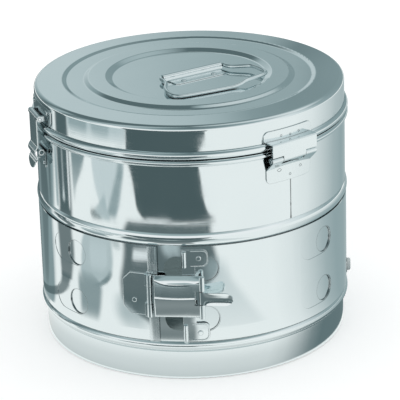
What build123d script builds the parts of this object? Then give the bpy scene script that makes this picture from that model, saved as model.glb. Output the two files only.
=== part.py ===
from build123d import *
import os
from math import atan2, cos, degrees, radians, sin

# A stainless sterilization drum: a round, beaded body with a hinged lid, a bail handle that folds
# into the lid, and a band round the lower half that turns to open or close two rows of vents.
# Millimetres, +Z up. The origin is on the drum's axis, on the face that it stands on.
# Directions round the drum are azimuths in degrees: 0 faces -Y, and 90 faces +X.

# ---- driving dimensions -------------------------------------------------------------------------
SHEET = 0.9  # stainless sheet of the body, the lid and the band
PLATE = 1.0  # sheet of the hinge leaves and the clasps
BODY_R = 140.0  # outside of the upper wall
WALL_R = 139.6  # outside of the wall behind the band
FOOT_R = 137.7  # the wall is drawn in below the lower bead
FOOT_TOP = 26.5
LOWER_BEAD = (28.5, 37.5)
MID_BEAD = (128.0, 139.5)
SHOULDER = (200.8, 206.3)
NECK_R = 137.5  # outside of the neck at its root
NECK_TOP_R = 136.4
NECK_TOP = 228.0
LID_R = 139.7  # outside of the lid's skirt
LID_BEAD = (206.6, 214.0)
LID_TOP = 236.5  # the rim plane of the lid, and the floor of its handle recess
RECESS_R = 69.5

VENT_R = 11.7
VENT_ROWS = (59.5, 106.5)
VENT_COUNT = 7
VENT_PITCH = 360 / VENT_COUNT
VENT_FIRST = 3.7  # azimuth of the front pair of holes in the band
BAND_TRAVEL = 10.0  # with the vents shut, the wall's holes lie this far back from the band's
PRESSING_LENGTH = 46.0
PRESSING_HALF = 12.4  # half the height of the oblong pressing that each vent lies in

BAND_R = 140.0  # inside of the sliding band
BAND_OUT = BAND_R + SHEET
BAND_LOW = 38.0
BAND_HIGH = 127.5
BAND_LEFT_END = -13.3
BAND_RIGHT_END = -4.6
HEM_ARC = 3.4

HINGE_AZ = 37.0
HINGE_N = 145.4  # distance of the hinge's pin from the drum's axis
HINGE_Z = 199.5
HINGE_BARREL_R = 2.9
HINGE_PIN_R = 1.6

STRAP_AZ = -71.5
STRAP_N = 144.2  # distance of the lid clasp's pin from the drum's axis
STRAP_Z = 219.5
STRAP_WIDTH = 22.0
STRAP_BARREL_R = 2.7
STRAP_PIN_R = 1.4

CLIP_ANGLE = 32.3  # the handle clip lies across the lid, at this angle from +X
CLIP_LENGTH = 62.0
CLIP_SHIFT = 3.0
WIRE_R = 2.3
BAIL_DROOP = 0.65  # the bail's free side hangs down to the floor of the recess, in degrees

LEVER_AZ = -6.9  # azimuth that the band clasp's lever faces
LEVER_LOW = 62.5
LEVER_HIGH = 101.5
LEVER_PIN_T = -22.87  # the lever's pin, along and out from the middle of the lever
LEVER_PIN_N = 142.78
THUMB_PIN_T = 23.2
THUMB_PIN_N = 145.2
THUMB_LOW = 76.0
THUMB_HIGH = 88.0
CLASP_BARREL_R = 2.4
CLASP_PIN_R = 1.2

RIVET_R = 2.3
RIVET_HIGH = 1.0
RIVET_SHANK_R = 1.3
RIVET_TAIL = 0.8
RIVET_SEAT = 0.03  # a flat tail stands this far off a curved wall

PIN_PROUD = 0.6  # a pin shows this far past its outer knuckles
PIN_ROUND = 0.4
RUNNING = 0.07  # radial clearance of a knuckle that turns on its pin
JOINT_GAP = 0.3  # end gap between knuckles
CLEAR = 0.4  # clearance where a piece passes another
FAR = 30.0  # reaches past any sheet that a cut goes through

os.makedirs("parts", exist_ok=True)


def outward(azimuth):
    """The unit vector that points out of the drum at an azimuth."""
    return Vector(sin(radians(azimuth)), -cos(radians(azimuth)), 0)


def along(azimuth):
    """The unit vector round the drum at an azimuth, towards larger azimuths."""
    return Vector(cos(radians(azimuth)), sin(radians(azimuth)), 0)


def facing(azimuth, distance=0.0, height=0.0):
    """A plane that faces out of the drum: its x runs round the drum and its y runs up."""
    origin = outward(azimuth) * distance + Vector(0, 0, height)
    return Plane(origin=origin, x_dir=along(azimuth), z_dir=outward(azimuth))


def section(azimuth, shift=0.0):
    """A plane that cuts the drum open: its x runs outward and its y runs up."""
    return Plane(origin=along(azimuth) * shift, x_dir=outward(azimuth), z_dir=-along(azimuth))


def tube(inner, outer, low, high):
    """A round tube about the drum's axis, which trims plates to a curved wall."""
    with BuildPart() as made:
        with BuildSketch(Plane.XY.offset(low)):
            Circle(outer)
            if inner:
                Circle(inner, mode=Mode.SUBTRACT)
        extrude(amount=high - low)
    return made.part


def level_barrel(azimuth, distance, height, radius, bore, start, end):
    """A knuckle or a pin that lies level along the drum's wall, from start to end along its axis."""
    origin = outward(azimuth) * distance + along(azimuth) * start + Vector(0, 0, height)
    with BuildPart() as made:
        with BuildSketch(Plane(origin=origin, x_dir=outward(azimuth), z_dir=along(azimuth))):
            Circle(radius)
            if bore:
                Circle(bore, mode=Mode.SUBTRACT)
        extrude(amount=end - start)
    return made.part


def upright_barrel(shift, distance, radius, bore, low, high):
    """A knuckle or a pin that stands upright at a place in the band clasp's own directions."""
    origin = outward(LEVER_AZ) * distance + along(LEVER_AZ) * shift + Vector(0, 0, low)
    with BuildPart() as made:
        with BuildSketch(Plane(origin=origin, x_dir=along(LEVER_AZ), z_dir=(0, 0, 1))):
            Circle(radius)
            if bore:
                Circle(bore, mode=Mode.SUBTRACT)
        extrude(amount=high - low)
    return made.part


def rivet(plane, grip, tail):
    """A rivet: a domed head on the plane, a shank through the sheets, and a closed tail behind them."""
    with BuildPart() as made:
        with BuildSketch(plane):
            Circle(RIVET_R)
        extrude(amount=RIVET_HIGH)
        fillet(made.faces().sort_by(Axis(plane.origin, plane.z_dir))[-1].edges(), 0.7 * RIVET_HIGH)
        with BuildSketch(plane):
            Circle(RIVET_SHANK_R)
        extrude(amount=-grip - tail)
        if tail:
            with BuildSketch(plane.offset(-grip - RIVET_SEAT)):
                Circle(0.8 * RIVET_R)
            extrude(amount=-tail)
    return made.part


def drill(plane):
    """The hole for such a rivet's shank, through whatever sheet lies behind the plane."""
    with BuildPart() as made:
        with BuildSketch(plane.offset(-6)):
            Circle(RIVET_SHANK_R)
        extrude(amount=12)
    return made.part


def vent_azimuths(first):
    """The azimuths of the pairs of vents, which are spaced evenly round the drum."""
    return [first + VENT_PITCH * step for step in range(VENT_COUNT)]


def finish(made, label):
    """Name a finished piece and write it."""
    made.part.label = label
    export_step(made.part, f"parts/{label}.step")


# ---- where the rivets go: planes on the outer faces of the plates that they hold ------------------
leaf_azimuth = -22.0
leaf_rivets = [facing(leaf_azimuth, BAND_OUT + PLATE, 76)]
strike_rivets = [facing(1.4, BAND_OUT + PLATE, z) for z in (46.5, 117)]
clasp_rivets = [facing(STRAP_AZ + turn, LID_R + PLATE, 226.5) for turn in (-8.2, 8.2)]
catch_rivets = [facing(STRAP_AZ + turn, BODY_R + PLATE, 177.5) for turn in (-3.2, 3.2)]

# The handle clip's own directions: x along the clip, -y towards the bail's free side.
bail_pivot_z = LID_TOP + WIRE_R + RUNNING + SHEET
clip_x = Vector(cos(radians(CLIP_ANGLE)), sin(radians(CLIP_ANGLE)), 0)
clip_middle = clip_x * CLIP_SHIFT + Vector(0, 0, bail_pivot_z)
clip_plane = Plane(origin=clip_middle, x_dir=clip_x, z_dir=(0, 0, 1))
flange_top = clip_plane.offset(LID_TOP + SHEET - bail_pivot_z)
clip_rivets = [flange_top.shift_origin(flange_top.from_local_coords((x, -12, 0))) for x in (-16, 16)]

# ---- drum body: one rolled and seam-welded sheet, beaded, with the neck for the lid at its top ----
foot_turn_in = 5.5
seam_azimuth = 37.6
seam_width = 1.2
leaf_bottom = 176.7  # the seam shows up to the hinge's lower leaf
with BuildPart() as body_shell:
    with BuildSketch(Plane.XZ):
        with BuildLine():
            FilletPolyline((FOOT_R - foot_turn_in, 0), (FOOT_R, 0), (FOOT_R, FOOT_TOP), radius=1.6)
            Line((FOOT_R, FOOT_TOP), (WALL_R, LOWER_BEAD[0]))
            ThreePointArc(
                (WALL_R, LOWER_BEAD[0]), (BODY_R + 1.8, sum(LOWER_BEAD) / 2), (WALL_R, LOWER_BEAD[1])
            )
            Line((WALL_R, LOWER_BEAD[1]), (WALL_R, MID_BEAD[0]))
            ThreePointArc(
                (WALL_R, MID_BEAD[0]), (BODY_R + 1.6, sum(MID_BEAD) / 2), (BODY_R, MID_BEAD[1])
            )
            Line((BODY_R, MID_BEAD[1]), (BODY_R, SHOULDER[0]))
            ThreePointArc(
                (BODY_R, SHOULDER[0]), (BODY_R + 2.8, sum(SHOULDER) / 2), (BODY_R, SHOULDER[1])
            )
            FilletPolyline(
                (BODY_R, SHOULDER[1]), (NECK_R, SHOULDER[1]), (NECK_TOP_R, NECK_TOP), radius=1.2
            )
            offset(amount=-SHEET, side=Side.LEFT, closed=True)
        make_face()
    revolve(axis=Axis.Z)
    for azimuth in vent_azimuths(VENT_FIRST - BAND_TRAVEL):
        with BuildSketch(facing(azimuth, WALL_R - 4)):
            for row in VENT_ROWS:
                with Locations((0, row)):
                    Circle(VENT_R)
        extrude(amount=8, mode=Mode.SUBTRACT)
    with BuildSketch(facing(seam_azimuth, BODY_R - SHEET / 2, (MID_BEAD[1] + leaf_bottom) / 2)):
        Rectangle(seam_width, leaf_bottom - MID_BEAD[1])
    extrude(amount=SHEET / 2 + 0.15)
    for plane in catch_rivets:
        add(drill(plane), mode=Mode.SUBTRACT)
finish(body_shell, "body_shell")

# ---- bottom: a pressed disc with a turned-down rim, spot welded inside the foot -------------------
bottom_z = 24.0
disc_step = 2.2
with BuildPart() as bottom_disc:
    with BuildSketch(Plane.XZ):
        with BuildLine():
            rim_r = FOOT_R - SHEET
            FilletPolyline(
                (rim_r, 4),
                (rim_r, bottom_z),
                (112, bottom_z),
                (106, bottom_z - disc_step),
                (0, bottom_z - disc_step),
                radius=[4, 5, 5],
            )
            offset(amount=-SHEET, side=Side.LEFT, closed=True)
        make_face()
    revolve(axis=Axis.Z)
finish(bottom_disc, "bottom_disc")

# ---- lid: pressed sheet with a rolled lower bead, a raised ring and a recess for the handle --------
ring_top = LID_TOP + 2.6
crown = LID_TOP + 1.4
groove = LID_TOP + 0.3
with BuildPart() as lid_shell:
    with BuildSketch(Plane.XZ):
        with BuildLine():
            ThreePointArc((LID_R, LID_BEAD[0]), (LID_R + 3.0, sum(LID_BEAD) / 2), (LID_R, LID_BEAD[1]))
            FilletPolyline(
                (LID_R, LID_BEAD[1]),
                (LID_R, LID_TOP),
                (114.0, crown),
                (110.5, groove),
                (94.6, groove),
                (90.8, ring_top),
                (RECESS_R + 5.2, ring_top),
                (RECESS_R, LID_TOP),
                (0, LID_TOP),
                radius=[4.6, 4, 3, 3, 2.5, 2.5, 3],
            )
            offset(amount=-SHEET, side=Side.LEFT, closed=True)
        make_face()
    revolve(axis=Axis.Z)
    for plane in clasp_rivets:
        add(drill(plane), mode=Mode.SUBTRACT)
    for plane in clip_rivets:
        add(drill(plane), mode=Mode.SUBTRACT)
finish(lid_shell, "lid_shell")

# ---- hinge: two leaves that step out over the beads, rolled round one straight pin -----------------
# The lid's leaf steps out in a level shelf above the lid's bead and hangs down as a flat flap. The
# drum's leaf slopes out at 45 degrees and wraps the pin from the front.
upper_width = 53.0
lower_width = 49.0
middle_knuckle = 24.6
leaf_top = 224.0
leaf_corner = 5.0
shelf_top = LID_BEAD[1] + 0.1 + PLATE
flap_face = HINGE_N + HINGE_BARREL_R
flap_bottom = HINGE_Z + HINGE_BARREL_R + CLEAR
slot_drop = 5.0  # the drum's leaf is cut away this far below the pin, where the flap swings
knuckle_half = middle_knuckle / 2
shelf_bend = 1.8
with BuildPart() as hinge_upper_leaf:
    with BuildSketch(facing(HINGE_AZ, LID_R - FAR)) as upper_outline:
        with Locations((0, (leaf_top + shelf_top - PLATE) / 2)):
            Rectangle(upper_width, leaf_top - shelf_top + PLATE)
        fillet(upper_outline.vertices().group_by(Axis.Y)[-1], leaf_corner)
    extrude(amount=2 * FAR)
    add(tube(LID_R, LID_R + PLATE, shelf_top - PLATE, leaf_top), mode=Mode.INTERSECT)
    with BuildSketch(section(HINGE_AZ)):
        with BuildLine():
            FilletPolyline(
                (flap_face, flap_bottom),
                (flap_face, shelf_top),
                (LID_R - FAR, shelf_top),
                radius=shelf_bend,
            )
            offset(amount=-PLATE, side=Side.LEFT, closed=True)
        make_face()
    extrude(amount=lower_width / 2, both=True)
    with BuildSketch(facing(HINGE_AZ, flap_face - PLATE, HINGE_Z)):
        Rectangle(middle_knuckle, flap_bottom - HINGE_Z + 1, align=(Align.CENTER, Align.MIN))
    extrude(amount=PLATE)
    add(tube(0, LID_R, HINGE_Z, leaf_top + 1), mode=Mode.SUBTRACT)
    add(level_barrel(HINGE_AZ, HINGE_N, HINGE_Z, HINGE_BARREL_R, 0, -knuckle_half, knuckle_half))
    bore_r = HINGE_PIN_R + RUNNING
    bore = level_barrel(HINGE_AZ, HINGE_N, HINGE_Z, bore_r, 0, -knuckle_half, knuckle_half)
    add(bore, mode=Mode.SUBTRACT)
finish(hinge_upper_leaf, "hinge_upper_leaf")

slope_reach = 16.0
slope_turn = HINGE_BARREL_R / 2**0.5
slope_end = (HINGE_N + slope_turn, HINGE_Z - slope_turn)  # where the leaf's face meets its knuckles
slope_foot = (slope_end[0] - slope_reach, slope_end[1] - slope_reach)
with BuildPart() as hinge_lower_leaf:
    with BuildSketch(facing(HINGE_AZ, BODY_R - FAR)) as lower_outline:
        with Locations((0, (leaf_bottom + HINGE_Z) / 2)):
            Rectangle(lower_width, HINGE_Z - leaf_bottom)
        fillet(lower_outline.vertices().group_by(Axis.Y)[0], leaf_corner)
    extrude(amount=2 * FAR)
    add(tube(BODY_R, BODY_R + PLATE, leaf_bottom, HINGE_Z), mode=Mode.INTERSECT)
    with BuildSketch(section(HINGE_AZ)):
        Polygon(
            slope_foot, slope_end, (slope_end[0], HINGE_Z + 1), (slope_foot[0], HINGE_Z + 1), align=None
        )
    extrude(amount=FAR, both=True, mode=Mode.SUBTRACT)
    with BuildSketch(section(HINGE_AZ)):
        with BuildLine():
            Line(slope_foot, slope_end)
            offset(amount=-PLATE, side=Side.LEFT, closed=True)
        make_face()
    extrude(amount=lower_width / 2, both=True)
    with BuildSketch(facing(HINGE_AZ, BODY_R + PLATE, HINGE_Z - slot_drop)):
        Rectangle(middle_knuckle + 2 * JOINT_GAP, 2 * slot_drop, align=(Align.CENTER, Align.MIN))
    extrude(amount=FAR, mode=Mode.SUBTRACT)
    add(tube(0, BODY_R, leaf_bottom - 1, HINGE_Z), mode=Mode.SUBTRACT)
    outer_start = knuckle_half + JOINT_GAP
    outer_end = lower_width / 2
    for start, end in ((-outer_end, -outer_start), (outer_start, outer_end)):
        add(level_barrel(HINGE_AZ, HINGE_N, HINGE_Z, HINGE_BARREL_R, 0, start, end))
        bore = level_barrel(HINGE_AZ, HINGE_N, HINGE_Z, HINGE_PIN_R, 0, start, end)
        add(bore, mode=Mode.SUBTRACT)
finish(hinge_lower_leaf, "hinge_lower_leaf")

with BuildPart() as hinge_pin:
    pin_half = outer_end + PIN_PROUD
    add(level_barrel(HINGE_AZ, HINGE_N, HINGE_Z, HINGE_PIN_R, 0, -pin_half, pin_half))
    fillet(hinge_pin.edges().filter_by(GeomType.CIRCLE), PIN_ROUND)
finish(hinge_pin, "hinge_pin")

# ---- lid clasp: a plate with two ears on the skirt, and a strap that snaps down over a catch -------
clasp_width = 54.0
clasp_low = 214.6
clasp_high = 231.0
ear_gap = STRAP_WIDTH / 2 + JOINT_GAP
ear_width = 3.4
ear_end = ear_gap + ear_width
ear_root = LID_R - 2  # the ears start inside the skirt, and are trimmed to it
with BuildPart() as lid_clasp_plate:
    with BuildSketch(facing(STRAP_AZ, LID_R - FAR)):
        with Locations((0, (clasp_low + clasp_high) / 2)):
            RectangleRounded(clasp_width, clasp_high - clasp_low, 4)
    extrude(amount=2 * FAR)
    add(tube(LID_R, LID_R + PLATE, clasp_low, clasp_high), mode=Mode.INTERSECT)
    for shift in (-ear_gap, ear_end):
        with BuildSketch(section(STRAP_AZ, shift)):
            with Locations((STRAP_N, STRAP_Z)):
                Circle(STRAP_BARREL_R)
            with Locations(((STRAP_N + ear_root) / 2, STRAP_Z)):
                Rectangle(STRAP_N - ear_root, 1.7 * STRAP_BARREL_R)
        extrude(amount=ear_width)
    add(tube(0, LID_R, clasp_low - 5, clasp_high + 5), mode=Mode.SUBTRACT)
    bore = level_barrel(STRAP_AZ, STRAP_N, STRAP_Z, STRAP_PIN_R, 0, -ear_end, ear_end)
    add(bore, mode=Mode.SUBTRACT)
    for plane in clasp_rivets:
        add(drill(plane), mode=Mode.SUBTRACT)
finish(lid_clasp_plate, "lid_clasp_plate")

with BuildPart() as lid_clasp_pin:
    pin_half = ear_end + PIN_PROUD
    add(level_barrel(STRAP_AZ, STRAP_N, STRAP_Z, STRAP_PIN_R, 0, -pin_half, pin_half))
    fillet(lid_clasp_pin.edges().filter_by(GeomType.CIRCLE), PIN_ROUND)
finish(lid_clasp_pin, "lid_clasp_pin")

with BuildPart() as lid_clasp_rivets:
    for plane in clasp_rivets:
        add(rivet(plane, PLATE + SHEET, RIVET_TAIL))
finish(lid_clasp_rivets, "lid_clasp_rivets")

strap_face = STRAP_N + STRAP_BARREL_R
strap_half = STRAP_WIDTH / 2
strap_tip_z = 161.5
strap_tip_round = 9.0
with BuildPart() as lid_clasp_strap:
    with BuildSketch(section(STRAP_AZ)):
        with BuildLine():
            ThreePointArc(
                (strap_face + 4.4, strap_tip_z), (strap_face + 1.9, 171), (strap_face - 0.2, 181.6)
            )
            ThreePointArc((strap_face - 0.2, 181.6), (strap_face + 2.2, 187.2), (strap_face, 193))
            Line((strap_face, 193), (strap_face, STRAP_Z))
            offset(amount=-PLATE, side=Side.LEFT, closed=True)
        make_face()
    extrude(amount=strap_half, both=True)
    with BuildSketch(facing(STRAP_AZ, STRAP_N - FAR)) as strap_outline:
        with Locations((0, (strap_tip_z + STRAP_Z) / 2)):
            Rectangle(STRAP_WIDTH, STRAP_Z - strap_tip_z)
        fillet(strap_outline.vertices().group_by(Axis.Y)[0], strap_tip_round)
    extrude(amount=2 * FAR, mode=Mode.INTERSECT)
    add(level_barrel(STRAP_AZ, STRAP_N, STRAP_Z, STRAP_BARREL_R, 0, -strap_half, strap_half))
    bore_r = STRAP_PIN_R + RUNNING
    bore = level_barrel(STRAP_AZ, STRAP_N, STRAP_Z, bore_r, 0, -strap_half, strap_half)
    add(bore, mode=Mode.SUBTRACT)
finish(lid_clasp_strap, "lid_clasp_strap")

catch_low = 172.0
catch_roll_z = 187.5
catch_roll_n = BODY_R + 3.4
catch_roll_r = 2.8
catch_half = 12.0
with BuildPart() as lid_catch:
    with BuildSketch(facing(STRAP_AZ, BODY_R - FAR)) as catch_outline:
        with Locations((0, (catch_low + catch_roll_z) / 2)):
            Rectangle(2 * catch_half, catch_roll_z - catch_low)
        fillet(catch_outline.vertices().group_by(Axis.Y)[0], 4)
    extrude(amount=2 * FAR)
    add(tube(BODY_R, BODY_R + PLATE, catch_low, catch_roll_z), mode=Mode.INTERSECT)
    add(level_barrel(STRAP_AZ, catch_roll_n, catch_roll_z, catch_roll_r, 0, -catch_half, catch_half))
    bore_r = catch_roll_r - PLATE
    bore = level_barrel(STRAP_AZ, catch_roll_n, catch_roll_z, bore_r, 0, -catch_half, catch_half)
    add(bore, mode=Mode.SUBTRACT)
    for plane in catch_rivets:
        add(drill(plane), mode=Mode.SUBTRACT)
finish(lid_catch, "lid_catch")

with BuildPart() as lid_catch_rivets:
    for plane in catch_rivets:
        add(rivet(plane, PLATE + SHEET, RIVET_TAIL))
finish(lid_catch_rivets, "lid_catch_rivets")

# ---- lid handle: a clip rolled round the wire of a folding bail, riveted to the recess's floor -----
clip_outer_r = WIRE_R + RUNNING + SHEET
flange_width = 54.0
flange_reach = 19.0
with BuildPart() as handle_clip:
    roll_plane = Plane(
        origin=clip_plane.from_local_coords((-CLIP_LENGTH / 2, 0, 0)), x_dir=(0, 0, 1), z_dir=clip_x
    )
    with BuildSketch(roll_plane):
        Circle(clip_outer_r)
    extrude(amount=CLIP_LENGTH)
    with BuildSketch(flange_top) as flange:
        with Locations((0, -flange_reach / 2)):
            Rectangle(flange_width, flange_reach)
        fillet(flange.vertices().group_by(Axis.Y)[0], 4)
    extrude(amount=-SHEET)
    with BuildSketch(roll_plane):
        Circle(WIRE_R + RUNNING)
    extrude(amount=CLIP_LENGTH, mode=Mode.SUBTRACT)
    for plane in clip_rivets:
        add(drill(plane), mode=Mode.SUBTRACT)
finish(handle_clip, "handle_clip")

with BuildPart() as handle_clip_rivets:
    for plane in clip_rivets:
        add(rivet(plane, 2 * SHEET, RIVET_TAIL))
finish(handle_clip_rivets, "handle_clip_rivets")

droop = radians(BAIL_DROOP)
bail_normal = Vector(0, 0, cos(droop)) - clip_plane.y_dir * sin(droop)
bail_plane = Plane(origin=clip_plane.origin, x_dir=clip_x, z_dir=bail_normal)
bail_side = 48.0
root_bend = 3.6  # the tightest bend, where the wire leaves the clip
bail_root = CLIP_LENGTH / 2 + root_bend + 0.2
wire_end = 0.5  # the wire's two ends butt together in the middle of the clip
with BuildPart() as bail_handle:
    with BuildLine(bail_plane):
        FilletPolyline(
            (wire_end, 0),
            (bail_root, 0),
            (bail_root, -10),
            (bail_side, -25),
            (bail_side, -46),
            (8, -57),
            (-bail_side, -51),
            (-bail_side, -25),
            (-bail_root, -10),
            (-bail_root, 0),
            (-wire_end, 0),
            radius=[root_bend, 8, 12, 9, 14, 9, 12, 8, root_bend],
        )
    start_point = bail_plane.from_local_coords((wire_end, 0, 0))
    with BuildSketch(Plane(origin=start_point, x_dir=bail_plane.y_dir, z_dir=clip_x)):
        Circle(WIRE_R)
    sweep()
finish(bail_handle, "bail_handle")

# ---- vent band: a sheet that slides round between the beads, holed in step with the wall -----------
pressing_depth = 0.3
pressing_turn = degrees((PRESSING_LENGTH / 2 - PRESSING_HALF) / BAND_OUT)


def wedge(start, end, low, high, inner, outer):
    """A stretch of round wall from one azimuth to another."""
    with BuildPart() as made:
        with BuildSketch(Plane.XZ):
            with Locations(((inner + outer) / 2, (low + high) / 2)):
                Rectangle(outer - inner, high - low)
        revolve(axis=Axis.Z, revolution_arc=end - start)
    return made.part.rotate(Axis.Z, start - 90)


with BuildPart() as pressings:
    for azimuth in vent_azimuths(VENT_FIRST - pressing_turn):
        with BuildSketch(facing(azimuth, BAND_OUT - 8)):
            for row in VENT_ROWS:
                with Locations((0, row)):
                    SlotOverall(PRESSING_LENGTH, 2 * PRESSING_HALF)
        extrude(amount=12)
    add(tube(BAND_OUT - pressing_depth, BAND_OUT + 1, BAND_LOW, BAND_HIGH), mode=Mode.INTERSECT)

with BuildPart() as vent_band:
    add(wedge(BAND_RIGHT_END, BAND_LEFT_END + 360, BAND_LOW, BAND_HIGH, BAND_R, BAND_OUT))
    add(pressings.part, mode=Mode.SUBTRACT)
    add(wedge(BAND_LEFT_END - HEM_ARC, BAND_LEFT_END, BAND_LOW, BAND_HIGH, BAND_R, BAND_OUT + SHEET))
    for azimuth in vent_azimuths(VENT_FIRST):
        with BuildSketch(facing(azimuth, BAND_R - 4)):
            for row in VENT_ROWS:
                with Locations((0, row)):
                    Circle(VENT_R)
        extrude(amount=8, mode=Mode.SUBTRACT)
    for plane in leaf_rivets + strike_rivets:
        add(drill(plane), mode=Mode.SUBTRACT)
finish(vent_band, "vent_band")

# ---- slide tab: a folded finger tab on the band's right side, which turns the band -----------------
tab_azimuth = 92.0
tab_low = 39.0
tab_high = 52.0
with BuildPart() as slide_tab:
    with BuildSketch(facing(tab_azimuth, BAND_OUT - 4)):
        with Locations((0, (tab_low + tab_high) / 2)):
            RectangleRounded(13, tab_high - tab_low, 2.5)
    extrude(amount=8)
    add(tube(BAND_OUT, BAND_OUT + SHEET, tab_low, tab_high), mode=Mode.INTERSECT)
    with BuildSketch(section(tab_azimuth, SHEET / 2)) as tab_lip:
        with Locations((BAND_OUT + 2.4, (tab_low + tab_high) / 2)):
            Rectangle(4.2, tab_high - tab_low - 1)
        fillet(tab_lip.vertices().group_by(Axis.X)[-1], 2)
    extrude(amount=SHEET)
finish(slide_tab, "slide_tab")

# ---- band clasp, left: a leaf with cut corners, riveted to the band, with two knuckles for the lever
leaf_low = 62.3
leaf_high = 101.8
leaf_width = 23.5
leaf_shift = 0.6  # its middle lies this far to the right of its rivet
cut_corner = 7.0
knuckle_split_low = 74.8
knuckle_split_high = 91.2
band_pin_azimuth = LEVER_AZ + degrees(atan2(LEVER_PIN_T, LEVER_PIN_N))
edge_shift = 3.2  # from the pin back to the leaf's edge, where its two knuckles are rolled up from it
edge_width = 2.6
edge_height = 4.0
with BuildPart() as clasp_leaf:
    with BuildSketch(facing(leaf_azimuth, BAND_OUT - FAR)) as leaf_outline:
        with Locations((leaf_shift, (leaf_low + leaf_high) / 2)):
            Rectangle(leaf_width, leaf_high - leaf_low)
        chamfer(leaf_outline.vertices().group_by(Axis.X)[0], cut_corner)
    extrude(amount=2 * FAR)
    add(tube(BAND_OUT, BAND_OUT + PLATE, leaf_low, leaf_high), mode=Mode.INTERSECT)
    for low, high in ((leaf_low, knuckle_split_low), (knuckle_split_high, leaf_high)):
        with BuildSketch(facing(band_pin_azimuth, BAND_OUT - pressing_depth)):
            with Locations((-edge_shift, (low + high) / 2)):
                Rectangle(edge_width, high - low)
        extrude(amount=edge_height)
        add(upright_barrel(LEVER_PIN_T, LEVER_PIN_N, CLASP_BARREL_R, 0, low, high))
    add(tube(0, BAND_OUT, leaf_low, leaf_high), mode=Mode.SUBTRACT)
    add(upright_barrel(LEVER_PIN_T, LEVER_PIN_N, CLASP_PIN_R, 0, leaf_low, leaf_high), mode=Mode.SUBTRACT)
    for plane in leaf_rivets:
        add(drill(plane), mode=Mode.SUBTRACT)
finish(clasp_leaf, "clasp_leaf")

with BuildPart() as clasp_leaf_rivet:
    for plane in leaf_rivets:
        add(rivet(plane, PLATE + SHEET, 0))
finish(clasp_leaf_rivet, "clasp_leaf_rivet")

with BuildPart() as clasp_pin:
    pin_low = leaf_low - PIN_PROUD
    pin_high = leaf_high + PIN_PROUD
    add(upright_barrel(LEVER_PIN_T, LEVER_PIN_N, CLASP_PIN_R, 0, pin_low, pin_high))
    fillet(clasp_pin.edges().filter_by(GeomType.CIRCLE), PIN_ROUND)
finish(clasp_pin, "clasp_pin")

# ---- band clasp, right: the strike, with two rolled edges and a lip that the thumb piece pulls on ---
strike_left = -11.3
strike_right = 11.8
strike_tabs = ((39.0, 55.8), (109.0, 124.8))
strike_web = (0.2, 45.0, 118.0)
edge_roll_r = 2.0
edge_roll_sink = 0.8  # the rolled edges sink into the band's face, and are trimmed to it
edge_roll_short = 1.5
lip_height = 2.7
lip_low = THUMB_LOW + 1
lip_high = THUMB_HIGH - 1
with BuildPart() as clasp_strike:
    with BuildSketch(facing(0, BAND_OUT - 4)) as strike_outline:
        for low, high in strike_tabs:
            with Locations(((strike_left + strike_right) / 2, (low + high) / 2)):
                Rectangle(strike_right - strike_left, high - low)
        fillet(strike_outline.vertices().group_by(Axis.X)[-1], 5)
        web_right, web_low, web_high = strike_web
        with Locations(((strike_left + web_right) / 2, (web_low + web_high) / 2)):
            Rectangle(web_right - strike_left, web_high - web_low)
    extrude(amount=8)
    add(tube(BAND_OUT, BAND_OUT + PLATE, strike_tabs[0][0], strike_tabs[1][1]), mode=Mode.INTERSECT)
    for low, high in strike_tabs:
        with BuildSketch(Plane.XY.offset(low)):
            with Locations((strike_left + edge_roll_r, -BAND_OUT - edge_roll_r + edge_roll_sink)):
                Circle(edge_roll_r)
        extrude(amount=high - low - edge_roll_short)
    with BuildSketch(facing(0, BAND_OUT)):
        with Locations((web_right - PLATE / 2, (lip_low + lip_high) / 2)):
            Rectangle(PLATE, lip_high - lip_low)
    extrude(amount=lip_height)
    add(tube(0, BAND_OUT, BAND_LOW, BAND_HIGH), mode=Mode.SUBTRACT)
    for plane in strike_rivets:
        add(drill(plane), mode=Mode.SUBTRACT)
finish(clasp_strike, "clasp_strike")

with BuildPart() as clasp_strike_rivets:
    for plane in strike_rivets:
        add(rivet(plane, PLATE + SHEET, 0))
finish(clasp_strike_rivets, "clasp_strike_rivets")

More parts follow.
